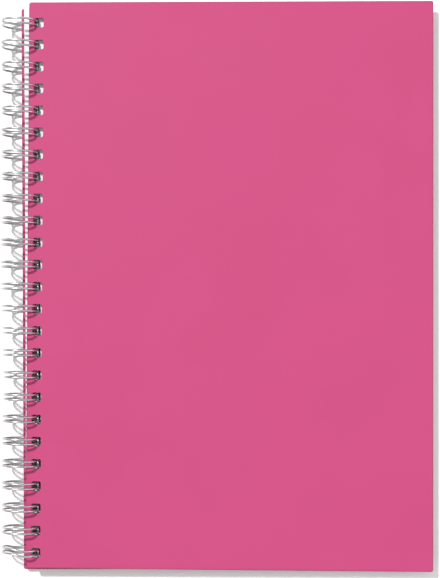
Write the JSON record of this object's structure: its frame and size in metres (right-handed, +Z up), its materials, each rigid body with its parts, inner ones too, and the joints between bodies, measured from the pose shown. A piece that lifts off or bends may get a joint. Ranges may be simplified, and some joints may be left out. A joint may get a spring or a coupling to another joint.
{
  "type": "scrapbook",
  "caption": "Closed scrapbook with plain pink board covers and blank leaves on a metal twin-loop wire binding; both covers turn round the wire.",
  "frame": {"origin": "middle of the closed book's footprint, on the surface that it lies on", "axes": "+X from the spine to the fore-edge, +Y from the tail to the head, +Z up out of the front cover"},
  "size_m": [0.166, 0.2182, 0.0144],
  "materials": {
    "cover_board": "satin",
    "page_paper": "matte",
    "binding_wire": "satin"
  },
  "bodies": {
    "binding": {"wire_binding": "binding_wire", "pages": "page_paper"},
    "front_cover": {"front_cover": "cover_board"},
    "back_cover": {"back_cover": "cover_board"}
  },
  "joints": [
    {"name": "front_cover_turn", "type": "hinge", "parent": "binding", "child": "front_cover", "pos_m": [-0.07578, 0, 0.00728], "axis": [0, -1, 0], "range_deg": [0, 240]},
    {"name": "back_cover_turn", "type": "hinge", "parent": "binding", "child": "back_cover", "pos_m": [-0.07578, 0, 0.00728], "axis": [0, 1, 0], "range_deg": [0, 240]}
  ]
}
